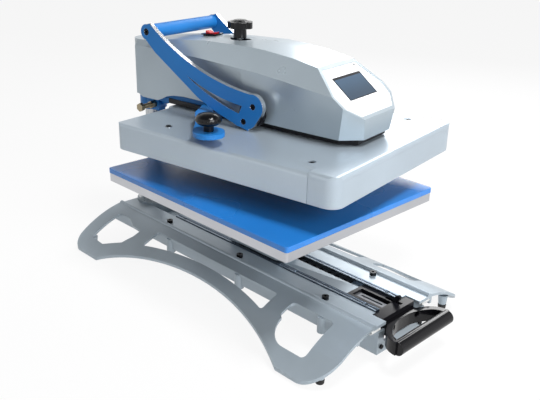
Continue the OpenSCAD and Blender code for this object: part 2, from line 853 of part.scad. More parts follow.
// Slot along the lower half of the bend
module lever_slot() {
    intersection() {
        difference() {
            translate([-52.3, 777.1]) circle(418.3, $fn = 720);
            translate([-5, 782.1]) circle(400, $fn = 720);
        }
        polygon([[28, 383.5], [35, 368], [60, 350], [172, 400], [172, 440], [60, 440]]);
    }
}

lever_bolt_at = [[2, 386], [24, 354]];

module lever_plate() {
    color([0.1, 0.45, 0.85]) difference() {
        slab_x(lever_in, lever_in + lever_t) difference() {
            lever_outline();
            lever_slot();
            for (p = lever_bolt_at) translate(p) circle(4.2);
            translate([grip_y, grip_z]) circle(4.2);
        }
        for (p = lever_bolt_at) rod_x(lever_in + lever_t - 4, lever_in + 20, p[0], p[1], 6);
        rod_x(lever_in + lever_t - 5, lever_in + 20, grip_y, grip_z, 7);
    }
}

module left_lever_plate() {
    mirror([1, 0, 0]) lever_plate();
}

module right_lever_plate() {
    lever_plate();
}

module lever_bolts() {
    color("black") both_sides() for (p = lever_bolt_at)
        translate([lever_in + lever_t - 4, p[0], p[1]]) rotate([0, 90, 0]) cap_screw(5.4, 3.6, 4, 18);
}

module lever_shaft() {
    color("silver") rod_x(-lever_in, lever_in, lever_y, lever_z, shaft_r);
}

module lever_hubs() {
    color("black") both_sides() difference() {
        union() {
            rod_x(85, lever_in, lever_y, lever_z, 28);
            slab_x(84, lever_in) {
                for (p = lever_bolt_at) translate(p) circle(12);
                translate((lever_bolt_at[0] + lever_bolt_at[1]) / 2) rotate(-55.5)
                    square([norm(lever_bolt_at[0] - lever_bolt_at[1]), 24], center = true);
            }
        }
        rod_x(70, 100, lever_y, lever_z, shaft_r);
        for (p = lever_bolt_at) rod_x(lever_in - 13, 100, p[0], p[1], 4.2);
    }
}

// Distance of the cam's groove from the shaft when the lever has turned by a degrees
function cam_r(a) = cam_r0 + press_travel * a / lever_turn;

// Half width of the groove along a radius, so that the pin just fits square to the groove
function groove_half(a) =
    let (rate = press_travel / (lever_turn * PI / 180))
    (cam_pin_r + 0.5) * sqrt(1 + pow(rate / cam_r(a), 2));

function cam_point(a, r) = [lever_y + r * cos(270 - a), lever_z + r * sin(270 - a)];

module cam_plates() {
    step = 6;
    turn = [0:step:lever_turn];
    outer = [for (a = [-24:step:lever_turn + 12]) cam_point(a, cam_r(a) + groove_half(a) + 6)];
    groove = concat([for (a = turn) cam_point(a, cam_r(a) + groove_half(a))],
                    [for (a = [lever_turn:-step:0]) cam_point(a, cam_r(a) - groove_half(a))]);
    color("dimgray") both_sides() slab_x(cam_x, cam_x + cam_t) difference() {
        union() {
            polygon(concat([[lever_y, lever_z]], outer));
            translate([lever_y, lever_z]) circle(19);
        }
        polygon(groove);
        for (a = [0, lever_turn]) translate(cam_point(a, cam_r(a))) circle(cam_pin_r + 0.5);
        translate([lever_y, lever_z]) circle(shaft_r);
    }
}

module grip_tube() {
    color([0.15, 0.5, 0.88]) difference() {
        rod_x(-lever_in, lever_in, grip_y, grip_z, grip_r);
        rod_x(-lever_in - 1, lever_in + 1, grip_y, grip_z, 4.2);
    }
}

module grip_bolts() {
    color("black") both_sides()
        translate([lever_in + lever_t - 5, grip_y, grip_z]) rotate([0, 90, 0]) cap_screw(6.4, 4.6, 4, 30);
}

// Heated head

// Cross section of the casing with its two rounded top edges, moved inwards by t and raised by lift
module casing_section(w, t, lift) {
    edge = 8 - t;
    top = casing_top + lift - t;
    translate([-w / 2 + t, casing_bottom]) square([w - 2 * t, top - edge - casing_bottom]);
    translate([-w / 2 + t + edge, casing_bottom]) square([w - 2 * t - 2 * edge, top - casing_bottom]);
    for (s = [-1, 1]) translate([s * (w / 2 - t - edge), top - edge]) circle(edge);
}

module casing_form(t, lift = 0) {
    intersection() {
        translate([0, 0, casing_bottom]) linear_extrude(casing_h + lift)
            rounded_rect(casing_w - 2 * t, casing_d - 2 * t, casing_r - t);
        slab_y(-casing_d, casing_d) casing_section(casing_w, t, lift);
        slab_x(-casing_w, casing_w) casing_section(casing_d, t, lift);
    }
}

// Right half of the upper edge of the raised field, from the rear to the front corner
field_edge = [[67, 246], [75, 178], [105, 22], [131, -55], [161, -145], [198, -204]];
// The foot of the slope down from that edge, point for point
field_foot = [[119, 246], [119, 160], [127, 14], [159, -72], [192, -163], [205, -204]];

// The middle and the whole front of the top stand higher than its two flanks
module raised_field() {
    intersection() {
        casing_form(0, field_h);
        translate([0, 0, casing_top - 6]) linear_extrude(20) {
            both_sides() polygon(concat([[-1, 246]], field_edge, [[-1, -204]]));
            translate([-casing_w / 2, -casing_d / 2]) square([casing_w, casing_d / 2 - 204]);
            translate([-67, 200]) square([134, 70]);
        }
    }
    field_slope();
    mirror([1, 0, 0]) field_slope();
}

// Slope on the right of the raised field, let a little into the casing on all hidden sides
module field_slope() {
    n = len(field_edge);
    low = casing_top - 2;
    points = [for (i = [0:n - 1]) each [
        [field_edge[i][0], field_edge[i][1], casing_top + field_h], [field_foot[i][0], field_foot[i][1], casing_top - 0.2],
        [field_foot[i][0], field_foot[i][1], low], [field_edge[i][0] - 3, field_edge[i][1], low],
        [field_edge[i][0] - 3, field_edge[i][1], casing_top + field_h - 0.5]]];
    sides = [for (i = [0:n - 2], j = [0:4]) let (a = 5 * i + j, b = 5 * i + (j + 1) % 5)
        each [[a, b, a + 5], [b, b + 5, a + 5]]];
    polyhedron(points, concat(sides, [[4, 3, 2, 1, 0], [for (j = [0:4]) 5 * (n - 1) + j]]));
}

casing_screw_at = [[-173, 156], [173, 156], [-175, -180], [175, -180]];

module heater_casing() {
    wall = 3;
    color([0.72, 0.76, 0.79]) difference() {
        union() {
            casing_form(0);
            raised_field();
        }
        difference() {
            translate([0, 0, -1]) casing_form(wall);
            for (p = casing_screw_at) translate([p[0], p[1], 302]) cylinder(h = 60, r = 7);
        }
        // Joint line near the front of both sides
        both_sides() translate([casing_w / 2 - 0.8, -204, casing_bottom - 1]) cube([2, 1, casing_h + 2]);
        // Flat seats of the screws
        for (p = casing_screw_at) translate([p[0], p[1], casing_top]) cylinder(h = 20, r = 7.5);
        // Opening of the press bridge and the holes of the guide rods
        translate([-42, -46, casing_top - 20]) cube([84, 124, 40]);
        for (p = guide_places()) translate([p[0], p[1], casing_top - 20]) cylinder(h = 40, r = 15);
        for (p = casing_screw_at) translate([p[0], p[1], casing_top - 40]) cylinder(h = 60, r = 2.7);
    }
}

module casing_screws() {
    color("black") for (p = casing_screw_at)
        translate([p[0], p[1], casing_top]) cap_screw(4.6, 2.8, 2.5, 44);
}

module heated_platen() {
    color("lightgray") difference() {
        translate([0, 0, casing_bottom - 2.5]) linear_extrude(22.5) rounded_rect(platen_w, platen_d, 12);
        for (p = casing_screw_at) translate([p[0], p[1], 286]) cylinder(h = 40, r = 2.5);
        for (p = guide_places()) translate([p[0], p[1], 289]) cylinder(h = 40, r = 5);
    }
}

module press_bridge() {
    z0 = casing_bottom + 20;
    pin_z = lever_z - cam_r0;
    color("gray") difference() {
        union() {
            translate([0, 25, z0]) linear_extrude(10) rounded_rect(124, 290, 14);
            both_sides() slab_x(27, 35) polygon([[-22, z0 + 10 - eps], [48, z0 + 10 - eps], [24, pin_z + 8], [2, pin_z + 8]]);
            rod_x(-35, 35, lever_y, pin_z, cam_pin_r);
        }
        for (p = guide_places()) translate([p[0], p[1], z0 - 1]) cylinder(h = 40, r = 5);
    }
}

module guide_rods() {
    z0 = casing_bottom + 30;
    color("silver") for (p = guide_places()) translate([p[0], p[1], 0]) {
        translate([0, 0, z0]) cylinder(h = 410 - z0, r = 8);
        translate([0, 0, 290]) cylinder(h = z0 - 290 + eps, r = 5);
    }
}

// Pressure adjustment

module pressure_knob() {
    z0 = 488.5;
    lobes = 7;
    color("black") translate([0, knob_y, z0]) difference() {
        union() {
            cylinder(h = 20, r1 = 13.5, r2 = 12.5);
            translate([0, 0, 19]) linear_extrude(13) difference() {
                circle(25.5);
                for (i = [0:lobes - 1]) rotate(i * 360 / lobes) translate([31, 0]) circle(8.5);
            }
            translate([0, 0, 32 - eps]) cylinder(h = 3.5, r1 = 19, r2 = 12);
        }
        translate([0, 0, -1]) cylinder(h = 25, r = 6);
    }
}

module pressure_spindle() {
    color("silver") translate([0, knob_y, 0]) {
        translate([0, 0, 432]) cylinder(h = 80, r = 6);
        translate([0, 0, 476]) cylinder(h = 3, r = 8.2);
    }
}

module spindle_nut() {
    color("goldenrod") difference() {
        union() {
            translate([-16, knob_y - 12, 440]) cube([32, 24, 22]);
            both_sides() translate([16 - eps, knob_y - 12, 440]) cube([33, 24, 5]);
            both_sides() slab_x(44, 49) polygon([[knob_y - 12, 440], [knob_y + 12, 440], [knob_y + 12, housing_bottom], [knob_y - 12, housing_bottom]]);
        }
        translate([0, knob_y, 430]) cylinder(h = 60, r = 6 + fit);
    }
}

base_casting();
front_crossmember();
crossmember_screws();
handle_buffers();
left_rail();
right_rail();
rail_screws();
bed_screws();
rubber_feet();
swing_post();
post_bolts();
carriage();
slide_shoes();
index_strip();
pedestal();
pedestal_bolts();
platen_spider();
lower_platen();
platen_screws();
silicone_pad();
draw_frame();
draw_bar();
draw_handle();
handle_bolts();
lock_lever();
lock_pin();
swung() swing_casting();
swung() post_bushes();
post_cap();
swung() stop_screw();
swung() swing_handle_stud();
swung() swing_handle_knob();
swung() arm_deck();
swung() deck_screws();
swung() shaft_bearings();
swung() guide_bushes();
swung() arm_housing();
swung() control_panel();
swung() touch_screen();
swung() status_lens();
swung() control_board();
swung() power_inlet();
swung() switch_frame();
swung() switch_rocker();
swung() lever_shaft();
swung() cam_plates();
swung() lever_hubs();
swung() left_lever_plate();
swung() right_lever_plate();
swung() lever_bolts();
swung() grip_tube();
swung() grip_bolts();
swung() heater_casing();
swung() casing_screws();
swung() heated_platen();
swung() press_bridge();
swung() guide_rods();
swung() pressure_knob();
swung() pressure_spindle();
swung() spindle_nut();
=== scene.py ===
"""Looks of a swing-away heat press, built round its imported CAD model.

The press stands on its feet at z = 0, with the operator at -Y. The CAD gives every size and place.
This script dresses each piece, rounds the edges of the large ones, and adds fine repeated detail.
All sizes are in metres, in the frame of the CAD model.
"""
from __future__ import annotations

import json
import logging
import math
from dataclasses import dataclass, field
from enum import Enum
from typing import Any, Iterable, Sequence

import bmesh
import bpy
from mathutils import Matrix, Vector

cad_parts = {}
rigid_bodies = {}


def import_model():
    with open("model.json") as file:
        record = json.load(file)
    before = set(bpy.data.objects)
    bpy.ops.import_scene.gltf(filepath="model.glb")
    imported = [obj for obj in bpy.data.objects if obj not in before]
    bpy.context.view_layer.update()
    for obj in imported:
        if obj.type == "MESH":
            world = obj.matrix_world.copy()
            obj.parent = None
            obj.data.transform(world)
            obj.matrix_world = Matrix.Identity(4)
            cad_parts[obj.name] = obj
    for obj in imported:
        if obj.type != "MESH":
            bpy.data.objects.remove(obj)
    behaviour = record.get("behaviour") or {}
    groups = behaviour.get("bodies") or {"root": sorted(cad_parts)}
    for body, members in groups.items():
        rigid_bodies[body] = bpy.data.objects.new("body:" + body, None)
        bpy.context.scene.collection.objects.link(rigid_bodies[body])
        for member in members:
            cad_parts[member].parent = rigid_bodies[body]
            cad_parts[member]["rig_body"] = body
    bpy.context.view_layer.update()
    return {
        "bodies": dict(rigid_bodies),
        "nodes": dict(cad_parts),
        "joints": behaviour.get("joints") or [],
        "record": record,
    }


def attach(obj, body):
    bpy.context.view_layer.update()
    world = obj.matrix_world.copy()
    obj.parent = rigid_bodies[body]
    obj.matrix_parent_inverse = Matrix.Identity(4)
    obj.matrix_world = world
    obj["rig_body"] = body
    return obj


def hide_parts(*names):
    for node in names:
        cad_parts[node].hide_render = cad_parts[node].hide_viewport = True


LOG = logging.getLogger("press")
MM = 0.001
MIDDLE = (0.3, 0.7)
SWUNG = 8.5
MOULD_GRAIN = 900.0
MERGE_DISTANCE = 0.02 * MM
SLIVER_LENGTH = 0.01 * MM
FLAT_ANGLE = 0.6
Colour = tuple[float, float, float]


class Axis(Enum):
    """The direction that a finish's lines run in."""

    X = 0
    Y = 1
    Z = 2


class Graph:
    """A node tree, with one method that makes every node in it."""

    def __init__(self, tree: bpy.types.NodeTree) -> None:
        """Starts from an empty tree.

        Args:
            tree: The material's or the modifier's tree.
        """
        self.tree = tree
        tree.nodes.clear()

    def node(self, kind: str, settings: dict[str, Any] | None = None,
             sockets: dict[Any, Any] | None = None) -> bpy.types.Node:
        """Makes one node.

        Args:
            kind: The node's type name.
            settings: Its own properties, such as a Math node's operation, set before its sockets.
            sockets: Values, sockets or signals for its inputs, by name or number.

        Returns:
            The new node.
        """
        made = self.tree.nodes.new(kind)
        for key, value in (settings or {}).items():
            setattr(made, key, value)
        for key, value in (sockets or {}).items():
            source = value.socket if isinstance(value, Signal) else value
            if isinstance(source, bpy.types.NodeSocket):
                self.tree.links.new(source, made.inputs[key])
            else:
                made.inputs[key].default_value = source
        return made

    def signal(self, kind: str, settings: dict[str, Any] | None = None,
               sockets: dict[Any, Any] | None = None, output: Any = 0) -> Signal:
        """Makes a node and gives one output of it as a signal."""
        return Signal(self, self.node(kind, settings, sockets).outputs[output])


class Signal:
    """A number that varies over a surface, with arithmetic that adds Math nodes."""

    def __init__(self, graph: Graph, socket: bpy.types.NodeSocket) -> None:
        """Wraps an output socket.

        Args:
            graph: The tree that the socket is in.
            socket: The output.
        """
        self.graph = graph
        self.socket = socket

    def _maths(self, operation: str, first: Any, second: Any) -> Signal:
        """Adds a Math node for one operation on two numbers or signals."""
        return self.graph.signal("ShaderNodeMath", {"operation": operation}, {0: first, 1: second})

    def __add__(self, other: Any) -> Signal:
        """Adds."""
        return self._maths("ADD", self, other)

    __radd__ = __add__

    def __sub__(self, other: Any) -> Signal:
        """Takes other away."""
        return self._maths("SUBTRACT", self, other)

    def __rsub__(self, other: Any) -> Signal:
        """Takes this away from other."""
        return self._maths("SUBTRACT", other, self)

    def __mul__(self, other: Any) -> Signal:
        """Multiplies."""
        return self._maths("MULTIPLY", self, other)

    __rmul__ = __mul__

    def __truediv__(self, other: Any) -> Signal:
        """Divides."""
        return self._maths("DIVIDE", self, other)

    def __gt__(self, other: Any) -> Signal:
        """Gives 1 where this is the larger, else 0."""
        return self._maths("GREATER_THAN", self, other)

    def __lt__(self, other: Any) -> Signal:
        """Gives 1 where this is the smaller, else 0."""
        return self._maths("LESS_THAN", self, other)

    def __abs__(self) -> Signal:
        """Drops the sign."""
        return self._maths("ABSOLUTE", self, 0.0)

    def root(self) -> Signal:
        """Gives the square root."""
        return self._maths("SQRT", self, 0.0)

    def ramp(self, low: float, high: float) -> Signal:
        """Maps low..high smoothly to 0..1."""
        return self.graph.signal("ShaderNodeMapRange", {"interpolation_type": "SMOOTHSTEP"},
                                 {0: self, 1: low, 2: high, 3: 0.0, 4: 1.0})


class Surface:
    """One material under construction: its tree, coordinates and principled shader."""

    def __init__(self, name: str) -> None:
        """Makes the material.

        Args:
            name: The material's name.
        """
        self.material = bpy.data.materials.new(name)
        self.material.use_nodes = True
        self.graph = Graph(self.material.node_tree)
        self.place = self.graph.node("ShaderNodeTexCoord").outputs["Object"]

    def axis(self, axis: Axis) -> Signal:
        """Gives one coordinate of the shaded point, in metres."""
        return self.graph.signal("ShaderNodeSeparateXYZ", None, {0: self.place}, axis.value)

    def noise(self, per_metre: float, detail: float = 2.0, roughness: float = 0.5,
              stretch: tuple[float, float, float] = (1.0, 1.0, 1.0)) -> Signal:
        """Gives noise from 0 to 1.

        Args:
            per_metre: Number of blotches in a metre.
            detail: Octaves.
            roughness: Weight of the finer octaves.
            stretch: Scale of the coordinates along each axis.

        Returns:
            The noise.
        """
        mapped = self.graph.node("ShaderNodeMapping", None, {"Vector": self.place, "Scale": stretch})
        return self.graph.signal("ShaderNodeTexNoise", None,
                                 {"Vector": mapped.outputs[0], "Scale": per_metre, "Detail": detail,
                                  "Roughness": roughness})

    def cells(self, per_metre: float) -> Signal:
        """Gives the distance to the nearest of many scattered points."""
        return self.graph.signal("ShaderNodeTexVoronoi", {"feature": "F1"},
                                 {"Vector": self.place, "Scale": per_metre})

    def turned(self, centre: tuple[float, float, float], degrees: float) -> tuple[Signal, Signal]:
        """Gives the two level coordinates of a piece that stands turned about the upright axis.

        Args:
            centre: The piece's middle.
            degrees: How far it is turned.

        Returns:
            Distance across and along the piece, from its middle, in metres.
        """
        c, d = math.cos(math.radians(degrees)), math.sin(math.radians(degrees))
        x, y = self.axis(Axis.X) - centre[0], self.axis(Axis.Y) - centre[1]
        return x * c + y * d, y * c - x * d

    def blend(self, first: Any, second: Any, amount: Any) -> bpy.types.NodeSocket:
        """Mixes two colours.

        Args:
            first: Colour or socket where amount is 0.
            second: Colour or socket where amount is 1.
            amount: Number or signal.

        Returns:
            The mixed colour.
        """
        colours = [c if isinstance(c, bpy.types.NodeSocket) else (*c, 1.0) for c in (first, second)]
        made = self.graph.node("ShaderNodeMix", {"data_type": "RGBA"},
                               {0: amount, 6: colours[0], 7: colours[1]})
        return made.outputs[2]

    def bump(self, height: Signal, depth: float, strength: float = 1.0,
             under: bpy.types.NodeSocket | None = None) -> bpy.types.NodeSocket:
        """Turns a height of 0 to 1 into a bumped normal.

        Args:
            height: The signal.
            depth: Height of 1, in metres.
            strength: Share of the effect.
            under: A normal that this one lies on.

        Returns:
            The normal.
        """
        sockets: dict[Any, Any] = {"Height": height, "Distance": depth, "Strength": strength}
        if under is not None:
            sockets["Normal"] = under
        return self.graph.node("ShaderNodeBump", None, sockets).outputs[0]

    def finish(self, **inputs: Any) -> bpy.types.Material:
        """Ends the material with a principled shader.

        Args:
            inputs: Values for the shader's inputs, with _ for a space in a name.

        Returns:
            The material.
        """
        sockets = {}
        for key, value in inputs.items():
            if isinstance(value, tuple) and len(value) == 3:
                value = (*value, 1.0)
            sockets[key.replace("_", " ")] = value
        shader = self.graph.node("ShaderNodeBsdfPrincipled", None, sockets)
        self.graph.node("ShaderNodeOutputMaterial", None, {0: shader.outputs[0]})
        return self.material


def deeper(colour: Colour, share: float) -> Colour:
    """Gives a colour scaled by a share."""
    return (colour[0] * share, colour[1] * share, colour[2] * share)


@dataclass(frozen=True)
class Paint:
    """Sprayed paint with a faint orange peel and slightly uneven gloss.

    Clouds, patches, grain and waves are counted in a metre, as in every finish below.
    """

    name: str
    colour: Colour
    roughness: float = 0.38
    peel: float = 0.00004
    shine: float = 0.3
    clouds: float = 7.0
    patches: float = 30.0
    grain: float = 420.0
    waves: float = 90.0

    def make(self) -> bpy.types.Material:
        """Builds the material."""
        s = Surface(self.name)
        cloud = s.noise(self.clouds, 2.0).ramp(*MIDDLE)
        colour = s.blend(deeper(self.colour, 0.955), deeper(self.colour, 1.03), cloud)
        normal = s.bump(s.noise(self.grain, 2.0), self.peel, 0.6)
        normal = s.bump(s.noise(self.waves, 1.0), self.peel * 2.0, 0.35, normal)
        return s.finish(Base_Color=colour,
                        Roughness=self.roughness - 0.05 + 0.1 * s.noise(self.patches, 3.0),
                        Specular_IOR_Level=self.shine, Normal=normal)


@dataclass(frozen=True)
class SilverPaint:
    """Silver paint: fine metal flakes in a grey coat, with a faint orange peel."""

    name: str
    colour: Colour
    roughness: float = 0.34
    metal: float = 0.45
    flake: float = 2600.0
    peel: float = 0.00003
    clouds: float = 5.0
    patches: float = 26.0
    grain: float = 380.0
    waves: float = 80.0

    def make(self) -> bpy.types.Material:
        """Builds the material."""
        s = Surface(self.name)
        cloud = s.noise(self.clouds, 2.0).ramp(*MIDDLE)
        flakes = s.cells(self.flake).ramp(0.45, 0.75)
        colour = s.blend(deeper(self.colour, 0.94), deeper(self.colour, 1.05), cloud)
        colour = s.blend(colour, deeper(self.colour, 1.22), flakes * 0.5)
        normal = s.bump(s.noise(self.grain, 2.0), self.peel, 0.5)
        normal = s.bump(s.noise(self.waves, 1.0), self.peel, 0.3, normal)
        return s.finish(Base_Color=colour, Metallic=self.metal,
                        Roughness=self.roughness - 0.04 + 0.08 * s.noise(self.patches, 3.0),
                        Normal=normal)


@dataclass(frozen=True)
class CastPaint:
    """Paint over a sand casting: a soft unevenness and a fine grain."""

    name: str
    colour: Colour
    roughness: float = 0.42
    metal: float = 0.4
    pits: float = 0.00006
    dents: float = 0.0005
    clouds: float = 9.0
    patches: float = 45.0
    grain: float = 650.0
    waves: float = 35.0

    def make(self) -> bpy.types.Material:
        """Builds the material."""
        s = Surface(self.name)
        cloud = s.noise(self.clouds, 3.0).ramp(*MIDDLE)
        colour = s.blend(deeper(self.colour, 0.94), deeper(self.colour, 1.04), cloud)
        normal = s.bump(s.noise(self.grain, 2.0), self.pits, 0.5)
        normal = s.bump(s.noise(self.waves, 3.0), self.dents, 0.25, normal)
        return s.finish(Base_Color=colour, Metallic=self.metal,
                        Roughness=self.roughness - 0.06 + 0.12 * s.noise(self.patches, 3.0),
                        Normal=normal)


@dataclass(frozen=True)
class Metal:
    """Bare metal with fine lines left by a tool along one axis."""

    name: str
    colour: Colour
    lines: Axis
    roughness: float = 0.3
    depth: float = 0.00003
    scratches: float = 1500.0
    stretch: float = 0.02
    stains: float = 14.0

    def make(self) -> bpy.types.Material:
        """Builds the material."""
        s = Surface(self.name)
        scale = [1.0, 1.0, 1.0]
        scale[self.lines.value] = self.stretch
        lines = s.noise(self.scratches, 3.0, 0.6, tuple(scale))
        wear = lines * 0.6 + s.noise(self.stains, 3.0) * 0.4
        colour = s.blend(deeper(self.colour, 0.88), self.colour, wear.ramp(*MIDDLE))
        return s.finish(Base_Color=colour, Metallic=1.0,
                        Roughness=self.roughness - 0.06 + 0.14 * lines,
                        Normal=s.bump(lines, self.depth, 0.5))


@dataclass(frozen=True)
class Moulding:
    """Moulded plastic or smooth rubber, with a faint grain and a few handling marks."""

    name: str
    colour: Colour
    roughness: float = 0.25
    grain: float = 0.00002
    marks: float = 0.06
    shine: float = 0.4
    clouds: float = 60.0
    scuffs: float = 260.0

    def make(self) -> bpy.types.Material:
        """Builds the material."""
        s = Surface(self.name)
        cloud = s.noise(self.clouds, 4.0)
        rubbed = s.noise(self.scuffs, 2.0, 0.5, (1.0, 0.15, 1.0)).ramp(0.62, 0.75)
        colour = s.blend(self.colour, deeper(self.colour, 1.12), cloud.ramp(0.35, 0.75))
        return s.finish(Base_Color=colour,
                        Roughness=self.roughness + self.marks * (rubbed + cloud * 0.5),
                        Specular_IOR_Level=self.shine,
                        Normal=s.bump(s.noise(MOULD_GRAIN, 2.0), self.grain, 0.5))


@dataclass(frozen=True)
class Silicone:
    """Sheet of dense silicone foam: an even skin that shines at a low angle."""

    name: str
    colour: Colour
    roughness: float = 0.3
    skin: float = 0.00003
    hollows: float = 0.0003
    clouds: float = 5.0
    grain: float = 1100.0
    waves: float = 24.0

    def make(self) -> bpy.types.Material:
        """Builds the material."""
        s = Surface(self.name)
        pressed = s.noise(self.clouds, 2.0)
        colour = s.blend(deeper(self.colour, 0.93), deeper(self.colour, 1.06), pressed.ramp(*MIDDLE))
        normal = s.bump(s.noise(self.grain, 2.0), self.skin, 0.6)
        normal = s.bump(s.noise(self.waves, 2.0), self.hollows, 0.2, normal)
        return s.finish(Base_Color=colour, Roughness=self.roughness - 0.03 + 0.08 * pressed,
                        Specular_IOR_Level=0.6, Normal=normal)


@dataclass(frozen=True)
class Screen:
    """Dark glass of the touch screen, with a black border printed behind it, and painted light that makes
    it brighter towards its top.
    """

    name: str
    colour: Colour
    border: Colour
    centre: tuple[float, float, float] = (77.6 * MM, -146.4 * MM, 432.3 * MM)
    half_width: float = 45.5 * MM
    half_rise: float = 14.6 * MM
    turn: float = SWUNG

    def make(self) -> bpy.types.Material:
        """Builds the material."""
        s = Surface(self.name)
        along, _ = s.turned(self.centre, self.turn)
        rise = abs(s.axis(Axis.Z) - self.centre[2])
        edge = (abs(along) > self.half_width) + (rise > self.half_rise)
        # Painted light: the glass is coloured up to 1.7 times brighter from its bottom edge to its top
        # edge.
        painted_light_ramp = (s.axis(Axis.Z) - self.centre[2]).ramp(-self.half_rise, self.half_rise)
        painted_light_colour = s.blend(self.colour, deeper(self.colour, 1.7), painted_light_ramp)
        return s.finish(Base_Color=s.blend(painted_light_colour, self.border, edge.ramp(0.0, 1.0)),
                        Roughness=0.09 + 0.03 * s.noise(40.0, 2.0), Specular_IOR_Level=0.35)


@dataclass(frozen=True)
class MarkedRocker:
    """Red rocker of the power switch, with its ON bar and OFF ring in white."""

    name: str
    colour: Colour
    mark: Colour
    centre: tuple[float, float, float] = (26.6 * MM, 194.6 * MM, 486.0 * MM)
    spread: float = 7.6 * MM
    bar_length: float = 4.4 * MM
    ring_radius: float = 2.0 * MM
    line: float = 0.8 * MM
    turn: float = SWUNG

    def make(self) -> bpy.types.Material:
        """Builds the material."""
        s = Surface(self.name)
        across, along = s.turned(self.centre, self.turn)
        bar = (abs(across) < self.line / 2) * (abs(along - self.spread) < self.bar_length / 2)
        reach = (across * across + (along + self.spread) * (along + self.spread)).root()
        ring = abs(reach - self.ring_radius) < self.line / 2
        above = s.axis(Axis.Z) > self.centre[2] - 2.0 * MM
        wear = s.noise(300.0, 3.0)
        red = s.blend(self.colour, deeper(self.colour, 1.1), wear.ramp(0.4, 0.7))
        return s.finish(Base_Color=s.blend(red, self.mark, (bar + ring) * above),
                        Roughness=0.2 + 0.06 * wear,
                        Normal=s.bump(s.noise(MOULD_GRAIN, 2.0), 0.00002, 0.5))


class Shop:
    """All finishes, each made once."""

    def __init__(self) -> None:
        """Makes every material that the press uses."""
        finishes = [
            CastPaint("cast_frame_paint", (0.35, 0.41, 0.46), roughness=0.34),
            SilverPaint("casing_paint", (0.385, 0.45, 0.51)),
            SilverPaint("housing_paint", (0.36, 0.42, 0.465), roughness=0.29),
            Moulding("panel_film", (0.86, 0.88, 0.90), roughness=0.30, grain=0.00001, marks=0.03),
            Screen("screen_glass", (0.022, 0.044, 0.074), border=(0.006, 0.007, 0.010)),
            Paint("blue_enamel", (0.014, 0.165, 0.48), roughness=0.40, peel=0.00003),
            Silicone("blue_silicone", (0.016, 0.18, 0.56), roughness=0.26),
            Moulding("black_gloss", (0.003, 0.003, 0.004), roughness=0.12, grain=0.00001, marks=0.03,
                     shine=0.28),
            Paint("black_satin", (0.005, 0.005, 0.007), roughness=0.30, peel=0.00003, shine=0.22),
            Moulding("black_rubber", (0.010, 0.010, 0.010), roughness=0.6, grain=0.00008),
            MarkedRocker("rocker_moulding", (0.52, 0.012, 0.018), mark=(0.85, 0.83, 0.82)),
            Moulding("white_nylon", (0.62, 0.63, 0.62), roughness=0.42, grain=0.00003),
            Metal("rail_steel", (0.20, 0.25, 0.31), Axis.Y, roughness=0.26),
            Metal("plate_aluminium", (0.56, 0.57, 0.60), Axis.Y, roughness=0.36),
            Metal("bright_edge", (0.80, 0.81, 0.83), Axis.X, roughness=0.24),
            Metal("turned_steel", (0.45, 0.47, 0.49), Axis.Z, roughness=0.26),
            Metal("cross_steel", (0.45, 0.47, 0.49), Axis.X, roughness=0.26),
            Metal("dull_steel", (0.26, 0.27, 0.29), Axis.Y, roughness=0.5),
            Metal("black_steel", (0.020, 0.021, 0.023), Axis.Z, roughness=0.32),
            Metal("aged_brass", (0.34, 0.29, 0.20), Axis.X),
            Metal("bronze", (0.45, 0.29, 0.15), Axis.Z, roughness=0.35),
            Moulding("release_coating", (0.020, 0.018, 0.024), roughness=0.34, grain=0.00004),
            Moulding("circuit_board", (0.015, 0.12, 0.05), roughness=0.35, grain=0.00003),
        ]
        self.materials = {f.name: f.make() for f in finishes}

    def __getitem__(self, name: str) -> bpy.types.Material:
        """Gives the material with that name."""
        return self.materials[name]


class ShapeTree:
    """A Geometry Nodes tree with named inputs, which is turned into plain meshes."""

    def __init__(self, name: str, inputs: dict[str, str]) -> None:
        """Makes the tree with its inputs and its one output.

        Args:
            name: The tree's name.
            inputs: Type of each input socket, by its name.
        """
        self.tree = bpy.data.node_groups.new(name, "GeometryNodeTree")
        face = self.tree.interface
        kinds = {"Points": "NodeSocketGeometry", **inputs, "Finish": "NodeSocketMaterial"}
        self.sockets = {label: face.new_socket(name=label, in_out="INPUT", socket_type=kind)
                        for label, kind in kinds.items()}
        face.new_socket(name="Mesh", in_out="OUTPUT", socket_type="NodeSocketGeometry")
        self.graph = Graph(self.tree)
        self.given = self.graph.node("NodeGroupInput").outputs

    def number(self, label: str) -> Signal:
        """Gives an input as a signal."""
        return Signal(self.graph, self.given[label])

    def end(self, geometry: bpy.types.NodeSocket) -> None:
        """Closes the tree: real geometry with its material.

        Args:
            geometry: What the tree has made.
        """
        real = self.graph.node("GeometryNodeRealizeInstances", None, {0: geometry})
        dressed = self.graph.node("GeometryNodeSetMaterial", None,
                                  {"Geometry": real.outputs[0], "Material": self.given["Finish"]})
        self.graph.node("NodeGroupOutput", None, {0: dressed.outputs[0]})

    def bake(self, points: Sequence[Vector], **values: Any) -> bpy.types.Mesh:
        """Runs the tree once.

        Args:
            points: Places that the tree puts something at.
            values: The inputs, by name.

        Returns:
            The plain mesh.
        """
        seeds = bpy.data.meshes.new("points")
        seeds.from_pydata([tuple(p) for p in points], [], [])
        carrier = bpy.data.objects.new("carrier", seeds)
        bpy.context.scene.collection.objects.link(carrier)
        shape = carrier.modifiers.new("shape", "NODES")
        shape.node_group = self.tree
        for label, value in values.items():
            shape[self.sockets[label].identifier] = value
        done = carrier.evaluated_get(bpy.context.evaluated_depsgraph_get())
        mesh = bpy.data.meshes.new_from_object(done)
        bpy.data.objects.remove(carrier)
        return mesh


